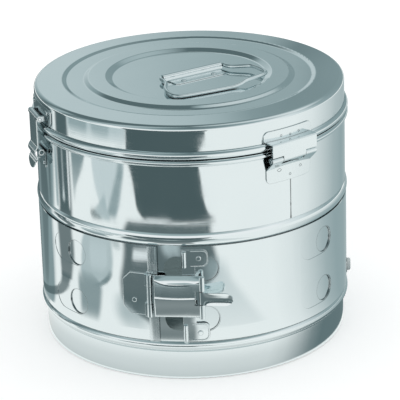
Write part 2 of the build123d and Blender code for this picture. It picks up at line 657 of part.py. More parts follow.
# ---- band clasp lever: a pressed cover, bevelled along its top and creased along its middle ---------
lever_middle = (LEVER_LOW + LEVER_HIGH) / 2
lever_left = -19.6
lever_right = 22.2
notch_left = 17.4
notch_low = THUMB_LOW - 0.5
notch_high = THUMB_HIGH + 0.5
lever_sections = (  # along the lever: how far its face stands out at the bevel and at the crease
    (lever_left, 143.9, 144.2),
    (-14.0, 145.4, 145.8),
    (-7.0, 146.4, 147.0),
    (lever_right, 146.6, 147.2),
)
lever_edge_n = 143.5
with BuildPart() as clasp_lever:
    for shift, bevel_n, crease_n in lever_sections:
        with BuildSketch(section(LEVER_AZ, shift)):
            face = (
                (lever_edge_n, LEVER_HIGH),
                (bevel_n, LEVER_HIGH - 6.4),
                (crease_n, lever_middle),
                (lever_edge_n, LEVER_LOW),
            )
            back = tuple((n - PLATE, z) for n, z in reversed(face))
            Polygon(*face, *back, align=None)
    loft(ruled=True)
    knuckle_low = knuckle_split_low + JOINT_GAP
    knuckle_high = knuckle_split_high - JOINT_GAP
    with BuildSketch(facing(LEVER_AZ, lever_edge_n - PLATE)):
        with Locations(((LEVER_PIN_T + lever_left + 1) / 2, (knuckle_low + knuckle_high) / 2)):
            Rectangle(lever_left + 1 - LEVER_PIN_T, knuckle_high - knuckle_low)
    extrude(amount=PLATE)
    add(upright_barrel(LEVER_PIN_T, LEVER_PIN_N, CLASP_BARREL_R, 0, knuckle_low, knuckle_high))
    with BuildSketch(facing(LEVER_AZ, 138)):
        with Locations((notch_left + 10, (notch_low + notch_high) / 2)):
            Rectangle(20, notch_high - notch_low)
    extrude(amount=14, mode=Mode.SUBTRACT)
    for low, high in ((LEVER_LOW, notch_low), (notch_high, LEVER_HIGH)):
        add(upright_barrel(THUMB_PIN_T, THUMB_PIN_N, CLASP_BARREL_R, 0, low, high))
    bore = upright_barrel(LEVER_PIN_T, LEVER_PIN_N, CLASP_PIN_R + RUNNING, 0, LEVER_LOW, LEVER_HIGH)
    add(bore, mode=Mode.SUBTRACT)
    bore = upright_barrel(THUMB_PIN_T, THUMB_PIN_N, CLASP_PIN_R, 0, LEVER_LOW, LEVER_HIGH)
    add(bore, mode=Mode.SUBTRACT)
finish(clasp_lever, "clasp_lever")

with BuildPart() as thumb_pin:
    pin_low = LEVER_LOW - PIN_PROUD
    pin_high = LEVER_HIGH + PIN_PROUD
    add(upright_barrel(THUMB_PIN_T, THUMB_PIN_N, CLASP_PIN_R, 0, pin_low, pin_high))
    fillet(thumb_pin.edges().filter_by(GeomType.CIRCLE), PIN_ROUND)
finish(thumb_pin, "thumb_pin")

# ---- thumb piece: a dished tongue that lifts outward, with a claw that lets go of the strike's lip ---
thumb_length = 27.5
thumb_half = (THUMB_HIGH - THUMB_LOW) / 2
thumb_middle = (THUMB_HIGH + THUMB_LOW) / 2
thumb_rim = 1.2
claw_left = 18.8
claw_back = THUMB_PIN_N - CLASP_BARREL_R
with BuildPart() as clasp_thumb:
    with BuildSketch(facing(LEVER_AZ, THUMB_PIN_N + CLASP_BARREL_R - PLATE)) as tongue:
        with Locations((THUMB_PIN_T + (thumb_length - thumb_half) / 2, thumb_middle)):
            Rectangle(thumb_length - thumb_half, 2 * thumb_half)
        with Locations((THUMB_PIN_T + thumb_length - thumb_half, thumb_middle)):
            Circle(thumb_half)
    extrude(amount=PLATE)
    with BuildSketch(facing(LEVER_AZ, THUMB_PIN_N + CLASP_BARREL_R)) as rim:
        add(tongue.sketch.moved(Location(outward(LEVER_AZ) * PLATE)))
        offset(amount=-thumb_rim, mode=Mode.SUBTRACT)
    extrude(amount=thumb_rim)
    add(upright_barrel(THUMB_PIN_T, THUMB_PIN_N, CLASP_BARREL_R, 0, THUMB_LOW, THUMB_HIGH))
    with BuildSketch(facing(LEVER_AZ, claw_back)):
        with Locations(((claw_left + THUMB_PIN_T) / 2, thumb_middle)):
            Rectangle(THUMB_PIN_T - claw_left, 2 * thumb_half)
    extrude(amount=PLATE)
    bore = upright_barrel(THUMB_PIN_T, THUMB_PIN_N, CLASP_PIN_R + RUNNING, 0, THUMB_LOW, THUMB_HIGH)
    add(bore, mode=Mode.SUBTRACT)
finish(clasp_thumb, "clasp_thumb")
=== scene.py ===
import math

import bmesh
import bpy
from mathutils import Matrix, Vector


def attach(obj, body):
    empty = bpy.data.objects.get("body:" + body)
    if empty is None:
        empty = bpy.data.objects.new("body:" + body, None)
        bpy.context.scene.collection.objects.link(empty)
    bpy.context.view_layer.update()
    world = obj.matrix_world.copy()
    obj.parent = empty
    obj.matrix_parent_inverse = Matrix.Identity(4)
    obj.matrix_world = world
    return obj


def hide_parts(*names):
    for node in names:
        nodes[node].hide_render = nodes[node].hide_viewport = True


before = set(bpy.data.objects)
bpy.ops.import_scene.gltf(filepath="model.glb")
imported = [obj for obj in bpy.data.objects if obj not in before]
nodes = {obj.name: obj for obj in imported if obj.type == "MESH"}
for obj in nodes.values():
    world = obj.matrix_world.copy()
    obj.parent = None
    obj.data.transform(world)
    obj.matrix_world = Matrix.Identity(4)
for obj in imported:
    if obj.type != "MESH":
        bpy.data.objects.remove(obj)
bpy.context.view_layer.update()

# ---- camera ---------------------------------------------------------------------------------------
# A long lens on a tripod, above the drum and looking down at it a little.
CAMERA_PLACE = (0.0, -1.97198, 0.88367)
CAMERA_DOWN = 0.37134
CAMERA_YAW = 0.00345
CAMERA_ROLL = -0.02945
LENS_MM = 207.13

ahead = Vector((
    math.sin(CAMERA_YAW) * math.cos(CAMERA_DOWN),
    math.cos(CAMERA_YAW) * math.cos(CAMERA_DOWN),
    -math.sin(CAMERA_DOWN),
))
level = Vector((math.cos(CAMERA_YAW), -math.sin(CAMERA_YAW), 0))
upward = level.cross(ahead)
across = level * math.cos(CAMERA_ROLL) + upward * math.sin(CAMERA_ROLL)
upward = upward * math.cos(CAMERA_ROLL) - level * math.sin(CAMERA_ROLL)
camera_data = bpy.data.cameras.new("camera")
camera_data.sensor_width = 36
camera_data.lens = LENS_MM
camera = bpy.data.objects.new("camera", camera_data)
bpy.context.scene.collection.objects.link(camera)
camera.matrix_world = Matrix.Translation(CAMERA_PLACE) @ Matrix(
    (across, upward, -ahead)).transposed().to_4x4()
bpy.context.scene.camera = camera
bpy.context.scene.view_settings.view_transform = "Standard"

# ---- floor and backdrop ---------------------------------------------------------------------------
# A pale studio floor that runs out of sight. It stays white to the camera, keeps the drum's soft
# shadow, and is the bright sheet that the polished walls mirror.
FLOOR_REACH = 6.0
FLOOR_PAINT = (0.93, 0.94, 0.94, 1.0)
FLOOR_LIFT = 0.27
MIRRORED_FLOOR = (0.965, 0.985, 0.975, 1.0)

floor_mesh = bpy.data.meshes.new("studio_floor")
floor_mesh.from_pydata(
    [(-FLOOR_REACH, -FLOOR_REACH, 0), (FLOOR_REACH, -FLOOR_REACH, 0),
     (FLOOR_REACH, FLOOR_REACH, 0), (-FLOOR_REACH, FLOOR_REACH, 0)], [], [(0, 1, 2, 3)])
studio_floor = bpy.data.objects.new("studio_floor", floor_mesh)
bpy.context.scene.collection.objects.link(studio_floor)

floor_paint = bpy.data.materials.new("floor_paint")
floor_paint.use_nodes = True
tree = floor_paint.node_tree
tree.nodes.clear()
floor_out = tree.nodes.new("ShaderNodeOutputMaterial")
floor_matt = tree.nodes.new("ShaderNodeBsdfDiffuse")
floor_matt.inputs["Color"].default_value = FLOOR_PAINT
floor_lift = tree.nodes.new("ShaderNodeEmission")
floor_lift.inputs["Color"].default_value = (1, 1, 1, 1)
floor_lift.inputs["Strength"].default_value = FLOOR_LIFT
floor_seen = tree.nodes.new("ShaderNodeAddShader")
floor_mirrored = tree.nodes.new("ShaderNodeEmission")
floor_mirrored.inputs["Color"].default_value = MIRRORED_FLOOR
floor_path = tree.nodes.new("ShaderNodeLightPath")
floor_mix = tree.nodes.new("ShaderNodeMixShader")
tree.links.new(floor_matt.outputs[0], floor_seen.inputs[0])
tree.links.new(floor_lift.outputs[0], floor_seen.inputs[1])
tree.links.new(floor_path.outputs["Is Glossy Ray"], floor_mix.inputs[0])
tree.links.new(floor_seen.outputs[0], floor_mix.inputs[1])
tree.links.new(floor_mirrored.outputs[0], floor_mix.inputs[2])
tree.links.new(floor_mix.outputs[0], floor_out.inputs["Surface"])
floor_mesh.materials.append(floor_paint)

# ---- studio cards ---------------------------------------------------------------------------------
# Cut-out dark and grey cards that a photographer lays round a mirror-bright object, so that its walls
# have something to show. Only the metal sees them. Each is cut by rows, from the top of the wall down:
# the height in millimetres at which the wall mirrors it to the camera, the azimuths between which it
# does, and how much it covers there.
WALL_RADIUS = 0.140
CARD_STEP = 0.0004  # each card lies this far above the one before
CARD_CUTS = 6  # straight cuts from one row to the next
CARD_STRIP = 3  # the widest strip of a card, in degrees of the wall
CARD_FADE = (0, 0.25, 0.5, 0.75, 1)


def cool(brightness):
    """The studio's colour at a brightness: white at the top, and a deep grey green at the bottom."""
    shade = 1 - brightness
    return (brightness * (1 - 0.36 * shade), brightness, brightness * (1 + 0.06 * shade))


def mirrored(azimuth, height):
    """The place on the floor that the wall shows to the camera at an azimuth and a height."""
    turn = math.radians(azimuth)
    outward = Vector((math.sin(turn), -math.cos(turn), 0))
    wall = outward * WALL_RADIUS + Vector((0, 0, height))
    bounce = (wall - Vector(CAMERA_PLACE)).normalized().reflect(outward)
    return wall - bounce * (height / bounce.z)


def between(before, start, end, after, share):
    """A smooth curve through four values, at a share of the way from the second to the third."""
    slope = (end - before) / 2
    bend = before - 2.5 * start + 2 * end - after / 2
    twist = (after - before) / 2 + 1.5 * (start - end)
    return start + share * (slope + share * (bend + share * twist))


def floor_card(name, rows, brightness, softness=1.0):
    """Lay a card whose sides fade out over a number of degrees of the wall."""
    ends = [rows[0], *rows, rows[-1]]
    cuts = []
    for index in range(len(rows) - 1):
        four = ends[index:index + 4]
        for step in range(CARD_CUTS + (index == len(rows) - 2)):
            cuts.append([between(*values, step / CARD_CUTS) for values in zip(*four)])
    lift = Vector((0, 0, CARD_STEP * (1 + len(card_names))))
    inner = 1 + int(max(right - left for _, left, right, _ in rows) / CARD_STRIP)
    places = []
    covers = []
    for height, left, right, cover in cuts:
        soft = min(softness, (right - left) / 2)
        fade = [(2 * soft * share - soft, share) for share in CARD_FADE]
        strips = [(left + slide, share) for slide, share in fade]
        width = right - left - 2 * soft
        strips += [(left + soft + width * step / inner, 1) for step in range(1, inner)]
        strips += [(right - slide, share) for slide, share in reversed(fade)]
        for azimuth, share in strips:
            places.append(mirrored(azimuth, height / 1000) + lift)
            covers.append(share * share * (3 - 2 * share) * cover)
    wide = len(strips)
    faces = [
        (first, first + 1, first + wide + 1, first + wide)
        for row in range(len(cuts) - 1) for first in range(wide * row, wide * row + wide - 1)
    ]
    mesh = bpy.data.meshes.new(name)
    mesh.from_pydata(places, [], faces)
    mesh.attributes.new("cover", "FLOAT", "POINT").data.foreach_set("value", covers)
    card = bpy.data.objects.new(name, mesh)
    bpy.context.scene.collection.objects.link(card)
    card.visible_camera = False
    card.visible_diffuse = False
    card.visible_shadow = False
    card.visible_transmission = False
    card.visible_volume_scatter = False
    paint = bpy.data.materials.new(name)
    paint.use_nodes = True
    tree = paint.node_tree
    tree.nodes.clear()
    out = tree.nodes.new("ShaderNodeOutputMaterial")
    glow = tree.nodes.new("ShaderNodeEmission")
    glow.inputs["Color"].default_value = (*cool(brightness), 1)
    clear = tree.nodes.new("ShaderNodeBsdfTransparent")
    cut_out = tree.nodes.new("ShaderNodeAttribute")
    cut_out.attribute_name = "cover"
    blend = tree.nodes.new("ShaderNodeMixShader")
    tree.links.new(cut_out.outputs["Fac"], blend.inputs[0])
    tree.links.new(clear.outputs[0], blend.inputs[1])
    tree.links.new(glow.outputs[0], blend.inputs[2])
    tree.links.new(blend.outputs[0], out.inputs["Surface"])
    mesh.materials.append(paint)
    card_names.append(name)


card_names = []
floor_card("foot_shade", ((27, -92, 92, 0), (16, -92, 92, 0.22), (8, -92, 92, 0.3), (1, -92, 92, 0.38)), 0.2)
floor_card("right_haze", (
    (400, 58, 96, 0.85), (235, 58, 96, 0.85), (214, 56, 96, 0.9), (200, 55, 92, 1), (140, 54, 92, 1),
    (132, 51, 92, 1), (127, 46, 92, 1), (60, 48, 92, 1), (38, 52, 92, 1), (26, 58, 92, 1), (2, 58, 92, 1),
), 0.42, softness=18)
floor_card("right_foot_haze", ((36, 52, 92, 0), (26, 44, 92, 0.9), (14, 42, 92, 1), (1, 40, 92, 1)), 0.2, softness=14)
floor_card("left_haze", (
    (400, -92, -59.5, 1), (235, -92, -59.5, 1), (140, -92, -61.5, 1), (127, -92, -63, 1),
    (50, -92, -64, 1), (40, -92, -70, 0.6), (25, -92, -74, 0),
), 0.34, softness=1.5)
floor_card("left_dark", (
    (400, -92, -61, 0.9), (235, -92, -61, 0.9), (214, -92, -62.5, 0.9), (180, -92, -63, 0.85),
    (145, -92, -64, 0.8), (132, -92, -65, 0.6), (120, -92, -67, 0.6), (70, -92, -69.5, 0.5), (45, -92, -72, 0),
), 0.13, softness=1.2)
floor_card("left_sheen_1", (
    (200, -80, -75, 0), (190, -80, -75, 0.5), (145, -80, -76, 0.5), (120, -80, -75, 0.5), (60, -80, -75, 0.4),
    (40, -80, -76, 0),
), 0.42, softness=1.8)
floor_card("left_sheen_2", (
    (200, -66.5, -64.8, 0), (190, -66.5, -64.8, 0.5), (145, -66.5, -64.8, 0.5), (120, -67, -64.5, 0.3),
    (60, -67, -65, 0),
), 0.4, softness=0.6)
floor_card("left_bar", (
    (400, -57.4, -49.8, 1), (235, -57.4, -49.8, 1), (180, -57.4, -49.4, 1), (143, -57, -49.4, 1),
    (127, -58.5, -49.6, 0.9), (95, -58, -49.6, 0.9), (75, -57.5, -51, 0.85),
), 0.14)
floor_card("left_bar_edge", (
    (203, -50.9, -50.1, 0), (195, -50.9, -50.1, 0.9), (150, -50.9, -50.1, 0.9), (141, -50.9, -50.1, 0),
), 0.95, softness=0.35)
floor_card("left_bar_line", (
    (203, -54.4, -53.4, 0), (195, -54.4, -53.4, 0.35), (165, -54.4, -53.4, 0.45), (151, -54.6, -53.2, 0.95),
    (147, -54.6, -53.2, 0),
), 0.8, softness=0.4)
floor_card("left_strip", (
    (203, -59.3, -57.6, 0), (195, -59.3, -57.6, 0.8), (145, -59.3, -57.6, 0.8), (139, -59.3, -57.6, 0),
), 0.4, softness=0.5)
floor_card("left_hook", (
    (80, -57.5, -51, 0), (75, -57.5, -51.5, 0.85), (65, -59, -53.5, 0.85), (58, -63, -56, 0.85),
    (50, -72, -62, 0.9), (42, -88, -73, 0.9), (38, -90, -84, 0),
), 0.16)
floor_card("wedge", (
    (212, -48.4, -40, 0), (200, -48.4, -41, 0.9), (185, -48.2, -42.8, 0.9), (165, -48, -46.3, 0.6),
    (150, -48, -47, 0),
), 0.3, softness=0.6)
floor_card("skirt_haze", ((300, -50, -23.6, 1), (230, -50, -23.6, 1), (216, -50, -23.6, 0.4), (213, -50, -23.6, 0)), 0.62, softness=0.5)
floor_card("skirt_grey_1", ((300, -49, -39.6, 1), (230, -49, -39.6, 1), (216, -48, -40.5, 0)), 0.4, softness=0.8)
floor_card("skirt_grey_2", ((300, -37.8, -30, 1), (230, -37.8, -30, 1), (216, -36, -31, 0)), 0.44, 0.8)
floor_card("tall_leaf", (
    (206, -38, -24.5, 0.9), (190, -38, -24.6, 0.9), (175, -37.3, -25.6, 0.9), (165, -36.4, -26.2, 0.9),
    (155, -35, -27, 0.85), (147, -33, -28, 0.8), (140, -32, -29, 0),
), 0.7, softness=0.5)
floor_card("tall_leaf_shade", (
    (200, -26.6, -24.8, 0.7), (185, -27.5, -25, 0.9), (170, -29.2, -26.2, 0.9), (155, -31, -27.2, 0.85),
    (147, -31.8, -28.2, 0.85), (140, -31.6, -29, 0),
), 0.36, softness=0.8)
floor_card("small_peak", (
    (164, -33.6, -32.8, 0), (160, -33.9, -32.6, 0.9), (151, -36.4, -32.2, 0.9), (145, -38.4, -31.4, 0.9),
    (140, -39, -31, 0.8), (138, -39, -31.5, 0),
), 0.55, softness=0.4)
floor_card("small_peak_foot", (
    (147, -39, -37.8, 0), (144, -39.6, -37.2, 0.95), (141, -39.4, -35.4, 0.95), (139.5, -38.6, -34.6, 0.9),
    (138, -38, -35, 0),
), 0.14, softness=0.4)
floor_card("tall_leaf_core", (
    (206, -37, -29, 0.3), (190, -35, -29, 0.6), (175, -34, -30, 0.6), (160, -33, -31, 0),
), 0.72, softness=0.7)
floor_card("low_leaf", (
    (127, -42, -31, 0.8), (115, -44, -30.5, 0.8), (95, -45.5, -30.5, 0.8), (80, -45, -33, 0.8),
    (70, -43, -38, 0),
), 0.5, softness=0.8)
floor_card("low_leaf_core", (
    (122, -39.5, -32, 0), (110, -40.5, -32.5, 0.8), (95, -40.5, -33, 0.8), (85, -40, -36, 0),
), 0.68, softness=0.8)
floor_card("low_leaf_edge", (
    (92, -32, -30.6, 0), (85, -33, -31, 0.8), (77, -36.5, -33.5, 0.8), (71, -40, -37.5, 0),
), 0.26, softness=0.6)
floor_card("low_leaf_shade", (
    (85, -46, -41, 0), (75, -47, -36, 0.8), (60, -47, -36, 0.9), (45, -47, -37, 0.8), (36, -47, -38, 0),
), 0.3, softness=1.2)
floor_card("left_tail", (
    (75, -27, -17, 0), (65, -29, -18, 0.6), (50, -29, -18, 0.7), (38, -27, -18, 0.3),
), 0.42, softness=3)
floor_card("clasp_dark", (
    (139, -24, 6, 0.95), (127, -26, 6.2, 0.95), (115, -25.6, 7.5, 0.95), (100, -26.2, 8.5, 0.95),
    (90, -27, 7.5, 0.95), (80, -27.5, 4.5, 0.95), (65, -26.8, 2, 0.95), (58, -24, 1, 0.9),
    (50, -20, -1, 0.85), (42, -17, 0, 0.8), (30, -16, 0, 0.8), (27, -16, 0, 0),
), 0.13, softness=1.2)
floor_card("clasp_haze", (
    (112, 5, 9, 0), (100, 4, 10.5, 0.6), (85, 4, 13, 0.5), (70, 2, 17, 0.4), (55, 0, 21, 0.3),
    (40, 0, 25, 0.2),
), 0.5, softness=2.5)
floor_card("front_block", (
    (700, -24, 6, 1), (400, -24, 5.5, 1), (235, -23.4, 5, 1), (215, -23.4, 4.2, 1), (200, -23.4, 2.2, 1),
    (180, -21.6, 3, 1), (165, -20.8, 3.6, 1), (152, -20.2, 4.8, 1), (145, -18.8, 6.4, 1),
    (140.5, -17, 8.4, 1),
), 0.12, softness=0.35)
floor_card("clasp_gleam", (
    (128, -12, -5.5, 0), (124, -12, -5.5, 0.8), (114, -11.5, -5, 0.8), (106, -10.5, -4.5, 0.2), (103, -10, -5, 0),
), 0.62, softness=1.6)
floor_card("leaf_gleam", (
    (115, -22, -17, 0), (111, -22, -17, 0.95), (104, -22.5, -17, 0.95), (101, -22.5, -18, 0),
), 0.9, softness=0.8)
floor_card("leaf_shade", (
    (128, -30, -27, 0), (122, -31, -27.5, 0.5), (112, -30, -27, 0.5), (108, -29, -27, 0),
), 0.35, softness=0.8)
floor_card("block_gleam", ((142.5, -17, -8, 0), (141, -17, -8, 0.9), (138, -17, -8, 0)), 0.9, softness=1.5)

# ---- light inside the drum ------------------------------------------------------------------------
# A dim, soft lamp under the lid. It keeps the drum's inside, as the vents in the gap of the band show
# it, a deep grey instead of black.
LAMP_SIZE = 0.05
LAMP_WATTS = 0.016

inner_light = bpy.data.lights.new("inner_lamp", "POINT")
inner_light.shadow_soft_size = LAMP_SIZE
inner_light.energy = LAMP_WATTS
inner_light.color = (0.86, 0.97, 0.95)
inner_lamp = bpy.data.objects.new("inner_lamp", inner_light)
bpy.context.scene.collection.objects.link(inner_lamp)
inner_lamp.location = (0, 0, 0.1)
inner_lamp.visible_camera = False

# ---- studio light ---------------------------------------------------------------------------------
# A soft room: white to the camera. The beads and rolled edges pick up a bright band in front, dark
# gaps to the left, and a grey wall behind that the lid's flat top mirrors.
ROOM_ROUND = (  # azimuth from the front in degrees, and how bright the room is there up to eye level
    (-170, 0.66), (-150, 0.4), (-130, 0.16), (-112, 0.5), (-100, 0.18), (-78, 0.6), (-62, 1.0), (9, 1.0),
    (60, 1.0), (85, 0.8), (110, 0.42), (150, 0.34), (169, 0.34),
)
LOW_LEFT_BACK = ((-180, 0.48), (-178, 0.57), (-176, 0.63))  # the wall behind, from the middle to the left
LOW_RIGHT_BACK = (  # and from the right to the middle
    (173.5, 0.36), (174.6, 0.31), (175.4, 0.24), (175.85, 0.25), (176.0, 0.57), (176.5, 0.57), (177.4, 0.4),
    (178.7, 0.43), (180, 0.48),
)
MIDDLE_ROOM = (  # the same, a little higher up
    (-180, 0.56), (-177, 0.62), (-170, 0.66), (-150, 0.4), (-130, 0.16), (-112, 0.5), (-100, 0.18),
    (-78, 0.4), (-62, 0.5), (9, 0.45), (60, 0.9), (85, 0.8), (110, 0.42), (150, 0.34), (169, 0.34),
    (175, 0.31), (177, 0.33), (178.5, 0.48), (180, 0.56),
)
HIGH_ROOM = (  # the room high up
    (-180, 0.16), (-90, 0.16), (-60, 0.6), (-30, 0.3), (0, 0.2), (60, 0.4), (110, 0.9), (150, 0.5),
    (180, 0.16),
)
MIDDLE_ROOM_START = (17, 24)  # degrees up, where each part of the room gives way to the next
HIGH_ROOM_START = (30, 42)
ROOM_LIGHT = 0.9

room = bpy.data.worlds.new("studio_room")
bpy.context.scene.world = room
room.use_nodes = True
tree = room.node_tree
tree.nodes.clear()
room_out = tree.nodes.new("ShaderNodeOutputWorld")
room_way = tree.nodes.new("ShaderNodeTexCoord")
room_split = tree.nodes.new("ShaderNodeSeparateXYZ")
tree.links.new(room_way.outputs["Generated"], room_split.inputs[0])
room_turn = tree.nodes.new("ShaderNodeMath")
room_turn.operation = "ARCTAN2"
room_front = tree.nodes.new("ShaderNodeMath")
room_front.operation = "MULTIPLY"
room_front.inputs[1].default_value = -1
tree.links.new(room_split.outputs["Y"], room_front.inputs[0])
tree.links.new(room_split.outputs["X"], room_turn.inputs[0])
tree.links.new(room_front.outputs[0], room_turn.inputs[1])
room_round = tree.nodes.new("ShaderNodeMapRange")
room_round.inputs["From Min"].default_value = -math.pi
room_round.inputs["From Max"].default_value = math.pi
tree.links.new(room_turn.outputs[0], room_round.inputs["Value"])


def room_ramp(stops):
    """A ramp of brightness round the room."""
    ramp = tree.nodes.new("ShaderNodeValToRGB")
    elements = ramp.color_ramp.elements
    while len(elements) > 1:
        elements.remove(elements[-1])
    for index, (azimuth, brightness) in enumerate(stops):
        place = (azimuth + 180) / 360
        stop = elements[0] if index == 0 else elements.new(place)
        stop.position = place
        stop.color = (*cool(brightness), 1)
    tree.links.new(room_round.outputs[0], ramp.inputs[0])
    return ramp.outputs[0]


def room_step(lower, upper, start):
    """Let one part of the room give way to the part above it."""
    rise = tree.nodes.new("ShaderNodeMapRange")
    rise.interpolation_type = "SMOOTHSTEP"
    rise.inputs["From Min"].default_value = math.sin(math.radians(start[0]))
    rise.inputs["From Max"].default_value = math.sin(math.radians(start[1]))
    tree.links.new(room_split.outputs["Z"], rise.inputs["Value"])
    step = tree.nodes.new("ShaderNodeMix")
    step.data_type = "RGBA"
    tree.links.new(rise.outputs[0], step.inputs["Factor"])
    tree.links.new(lower, step.inputs[6])
    tree.links.new(upper, step.inputs[7])
    return step.outputs[2]


room_low = room_ramp(LOW_LEFT_BACK + ROOM_ROUND + LOW_RIGHT_BACK)
room_middle = room_ramp(MIDDLE_ROOM)
room_whole = room_step(room_low, room_middle, MIDDLE_ROOM_START)
room_whole = room_step(room_whole, room_ramp(HIGH_ROOM), HIGH_ROOM_START)
room_mirrored = tree.nodes.new("ShaderNodeBackground")
tree.links.new(room_whole, room_mirrored.inputs["Color"])
room_plain = tree.nodes.new("ShaderNodeBackground")
room_plain.inputs["Color"].default_value = (1, 1, 1, 1)
room_plain.inputs["Strength"].default_value = ROOM_LIGHT
room_path = tree.nodes.new("ShaderNodeLightPath")
room_choice = tree.nodes.new("ShaderNodeMixShader")
tree.links.new(room_path.outputs["Is Glossy Ray"], room_choice.inputs[0])
tree.links.new(room_plain.outputs[0], room_choice.inputs[1])
tree.links.new(room_mirrored.outputs[0], room_choice.inputs[2])
tree.links.new(room_choice.outputs[0], room_out.inputs["Surface"])

# ---- drum body ------------------------------------------------------------------------------------
# The body is one rolled and seam-welded stainless sheet, beaded on a spinning lathe and polished while
# it turned, so that its fine lines run round it. Its rolled beads took the brightest polish.
SHELL_ROUGH = 0.045
SHELL_WAVE = 0.09
# the next value is how far the painted shade reaches into the shell's creases and gaps
SHELL_CREASE_SHADE = 0.0014
TURNED_CUTS = 720
BEAD_CUTS = 14
BEAD_SKIN = 0.00004  # the polished skin of a bead stands this far off the sheet
SEAM_AZIMUTH = 37.5
SEAM_HALF = 0.17
WALL = 0.140


def math_node(tree, operation, *inputs):
    """A math node on the values or the outputs given."""
    node = tree.nodes.new("ShaderNodeMath")
    node.operation = operation
    for slot, value in zip(node.inputs, inputs):
        if isinstance(value, (int, float)):
            slot.default_value = value
        else:
            tree.links.new(value, slot)
    return node.outputs[0]


def ranged(tree, value, low, high, new_low, new_high):
    """A value taken from one range to another and held to it."""
    node = tree.nodes.new("ShaderNodeMapRange")
    for name, number in (("From Min", low), ("From Max", high), ("To Min", new_low), ("To Max", new_high)):
        node.inputs[name].default_value = number
    tree.links.new(value, node.inputs["Value"])
    return node.outputs[0]


def noise(tree, vector, scale, detail):
    """A noise pattern over a vector."""
    node = tree.nodes.new("ShaderNodeTexNoise")
    node.inputs["Scale"].default_value = scale
    node.inputs["Detail"].default_value = detail
    tree.links.new(vector, node.inputs["Vector"])
    return node.outputs["Fac"]


def raised(tree, height, strength, distance, under=None):
    """A bump from a height, laid over another normal."""
    node = tree.nodes.new("ShaderNodeBump")
    node.inputs["Strength"].default_value = strength
    node.inputs["Distance"].default_value = distance
    tree.links.new(height, node.inputs["Height"])
    if under:
        tree.links.new(under, node.inputs["Normal"])
    return node.outputs[0]


def steel_finish(name, rough, wave, crease_shade_reach, edge=0.0, across=None, tone=1.0):
    """Stainless steel. Its polishing lines run round the drum, or else lie square to an axis across."""
    steel = bpy.data.materials.new(name)
    steel.use_nodes = True
    tree = steel.node_tree
    shader = tree.nodes["Principled BSDF"]
    shader.inputs["Metallic"].default_value = 1.0
    place = tree.nodes.new("ShaderNodeTexCoord").outputs["Object"]
    stretch = tree.nodes.new("ShaderNodeMapping")
    if across is None:
        split = tree.nodes.new("ShaderNodeSeparateXYZ")
        tree.links.new(place, split.inputs[0])
        flat = math_node(tree, "ADD", math_node(tree, "POWER", split.outputs["X"], 2),
                         math_node(tree, "POWER", split.outputs["Y"], 2))
        rings = tree.nodes.new("ShaderNodeCombineXYZ")
        tree.links.new(math_node(tree, "SQRT", flat), rings.inputs["X"])
        tree.links.new(math_node(tree, "ARCTAN2", split.outputs["X"], split.outputs["Y"]), rings.inputs["Y"])
        tree.links.new(split.outputs["Z"], rings.inputs["Z"])
        tree.links.new(rings.outputs[0], stretch.inputs["Vector"])
        stretch.inputs["Scale"].default_value = (1500, 1.2, 1500)
    else:
        tree.links.new(place, stretch.inputs["Vector"])
        stretch.inputs["Scale"].default_value = across
    streaks = noise(tree, stretch.outputs[0], 1.0, 3.0)
    film = noise(tree, place, 21.0, 4.0)
    smears = ranged(tree, noise(tree, place, 60.0, 2.0), 0.55, 0.75, 0, 0.35)
    dulled = math_node(tree, "MULTIPLY", streaks, math_node(tree, "ADD", film, smears))
    tree.links.new(ranged(tree, dulled, 0.1, 0.45, 0.6 * rough, 2.1 * rough), shader.inputs["Roughness"])
    tint = tree.nodes.new("ShaderNodeMix")
    tint.data_type = "RGBA"
    tint.inputs[6].default_value = (0.755 * tone, 0.82 * tone, 0.835 * tone, 1)
    tint.inputs[7].default_value = (0.80 * tone, 0.862 * tone, 0.87 * tone, 1)
    tree.links.new(film, tint.inputs["Factor"])
    # Painted shade: ambient occlusion darkens the base colour where other parts come close, so creases, gaps and joints
    # show dark.
    crease = tree.nodes.new("ShaderNodeAmbientOcclusion")
    crease.samples = 6
    crease.inputs["Distance"].default_value = crease_shade_reach
    shade = tree.nodes.new("ShaderNodeVectorMath")
    shade.operation = "SCALE"
    tree.links.new(tint.outputs[2], shade.inputs[0])
    tree.links.new(ranged(tree, crease.outputs["AO"], 0.35, 0.8, 0.3, 1), shade.inputs["Scale"])
    tree.links.new(shade.outputs[0], shader.inputs["Base Color"])
    normal = None
    if edge:
        rounded = tree.nodes.new("ShaderNodeBevel")
        rounded.samples = 4
        rounded.inputs["Radius"].default_value = edge
        normal = rounded.outputs[0]
    normal = raised(tree, noise(tree, place, 14.0, 1.0), wave, 0.0005, normal)
    normal = raised(tree, streaks, 0.05, 0.00004, normal)
    tree.links.new(normal, shader.inputs["Normal"])
    return steel


def dress(name, steel):
    """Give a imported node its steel."""
    node = nodes[name]
    node.data.materials.clear()
    node.data.materials.append(steel)


def scene_piece(name, form, steel, body, sharp=35):
    """Turn a bmesh into a piece that rides on a body."""
    bmesh.ops.recalc_face_normals(form, faces=form.faces)
    mesh = bpy.data.meshes.new(name)
    form.to_mesh(mesh)
    form.free()
    mesh.polygons.foreach_set("use_smooth", [True] * len(mesh.polygons))
    mesh.set_sharp_from_angle(angle=math.radians(sharp))
    mesh.materials.append(steel)
    piece = bpy.data.objects.new(name, mesh)
    bpy.context.scene.collection.objects.link(piece)
    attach(piece, body)
    return piece


def on_wall(azimuth, radius, height):
    """A place by its azimuth in degrees, its distance from the drum's axis and its height."""
    turn = math.radians(azimuth)
    return Vector((radius * math.sin(turn), -radius * math.cos(turn), height))


def swept(form, rings, closed):
    """Skin a row of rings of places with faces, from the first ring to the last or round to it again."""
    rows = [[form.verts.new(place) for place in ring] for ring in rings]
    pairs = list(zip(rows, rows[1:] + rows[:1])) if closed else list(zip(rows, rows[1:]))
    for before, after in pairs:
        for index in range(len(before)):
            follow = (index + 1) % len(before)
            form.faces.new((before[index], before[follow], after[follow], after[index]))
    if not closed:
        form.faces.new(rows[0])
        form.faces.new(rows[-1])


